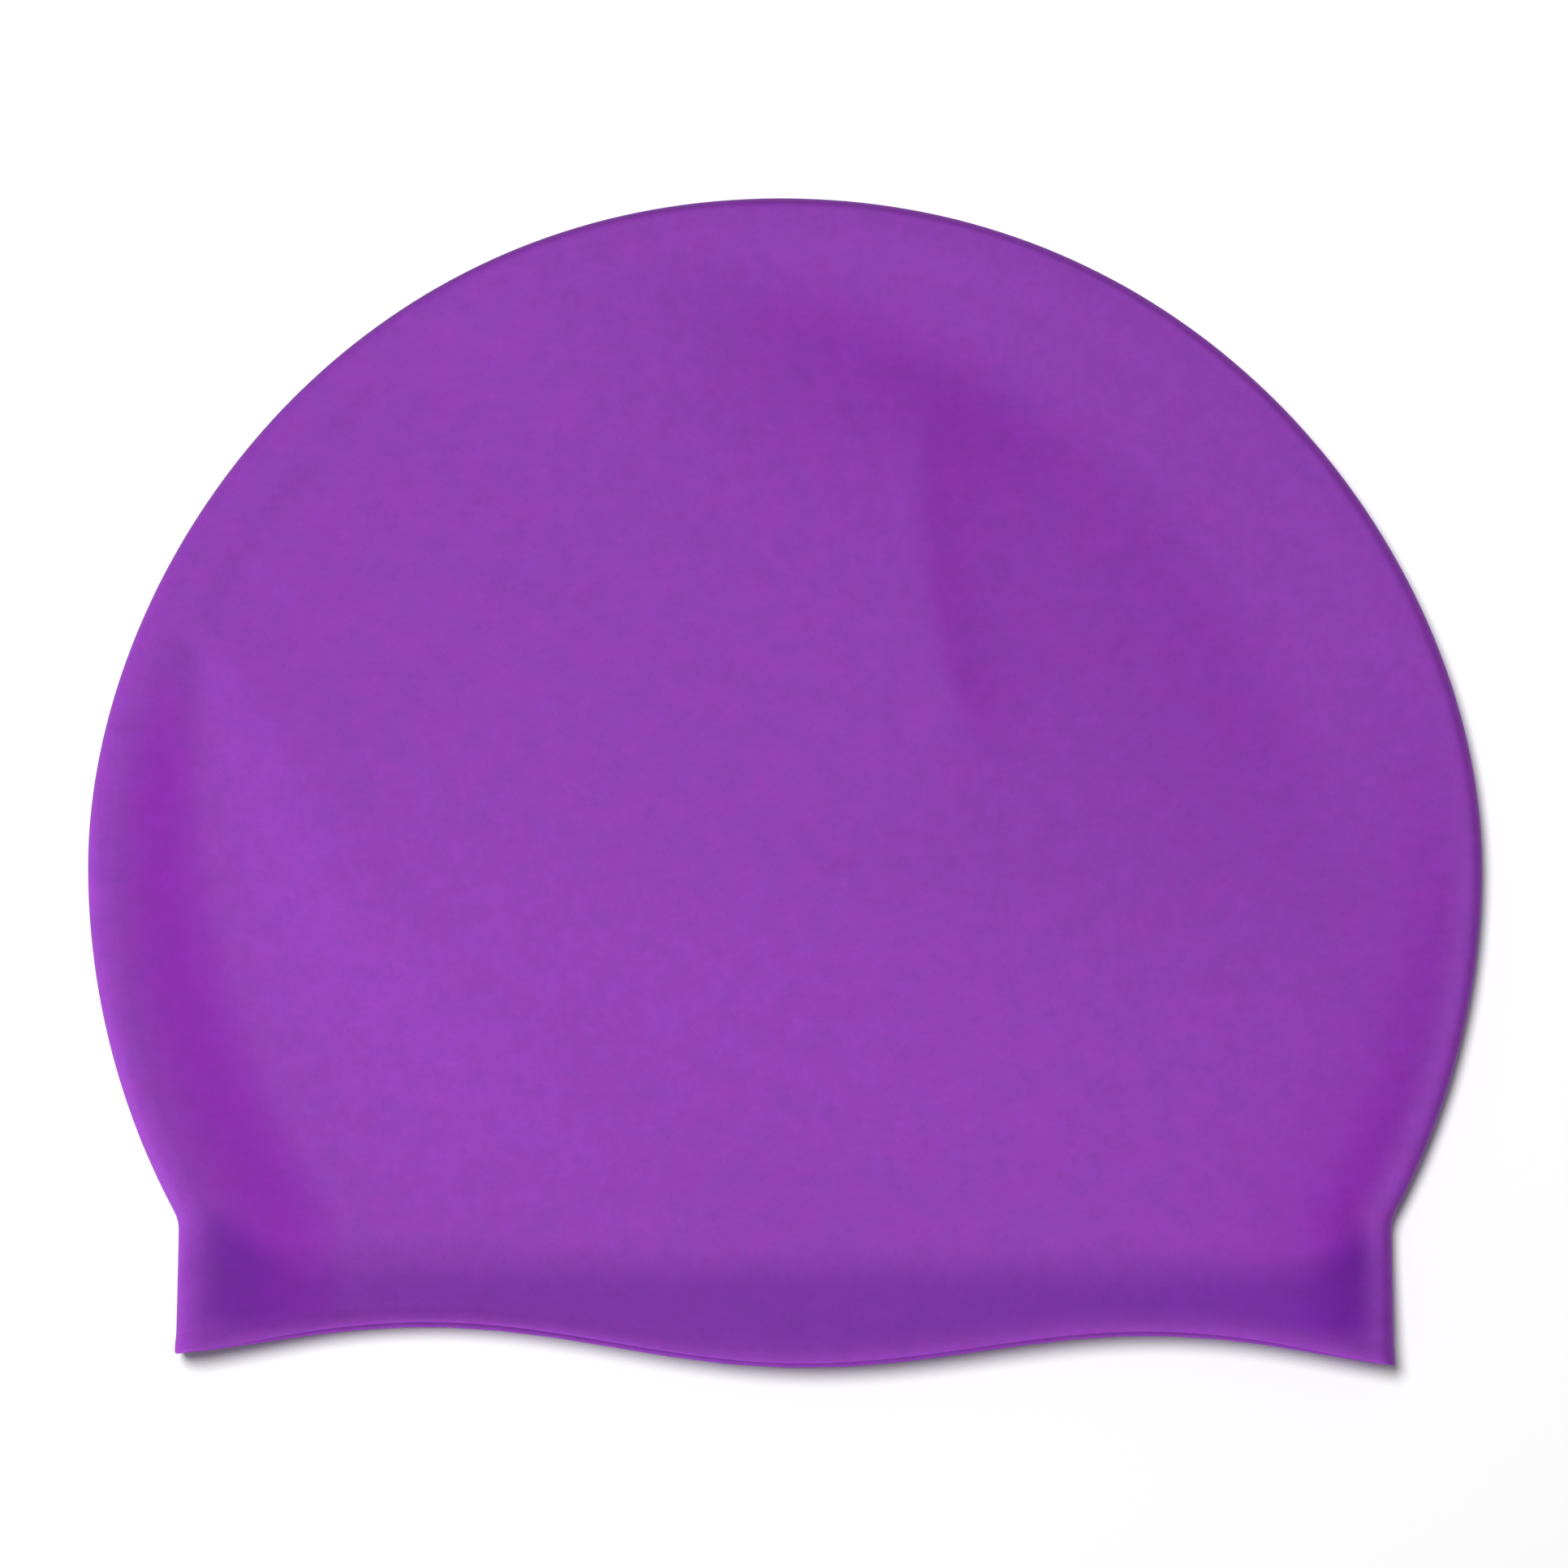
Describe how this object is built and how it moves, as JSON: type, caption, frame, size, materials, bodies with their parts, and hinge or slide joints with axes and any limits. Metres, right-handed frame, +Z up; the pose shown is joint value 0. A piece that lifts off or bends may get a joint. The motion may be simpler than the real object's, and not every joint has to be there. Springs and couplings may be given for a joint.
{
  "type": "swim cap",
  "caption": "Moulded dome-shaped head cap lying flat and empty, with a rolled rim, a short band and a wavy open mouth that takes the wearer's head.",
  "frame": {"origin": "centre of the footprint's box, on the surface that the cap lies on", "axes": "+X across the cap's width, +Y from the mouth towards the top of the crown, +Z up from the surface that it lies on"},
  "size_m": [0.225, 0.1896, 0.0135],
  "materials": {
    "silicone": "smooth matt moulded silicone"
  },
  "bodies": {
    "root": {"cap_shell": "silicone"}
  },
  "joints": []
}
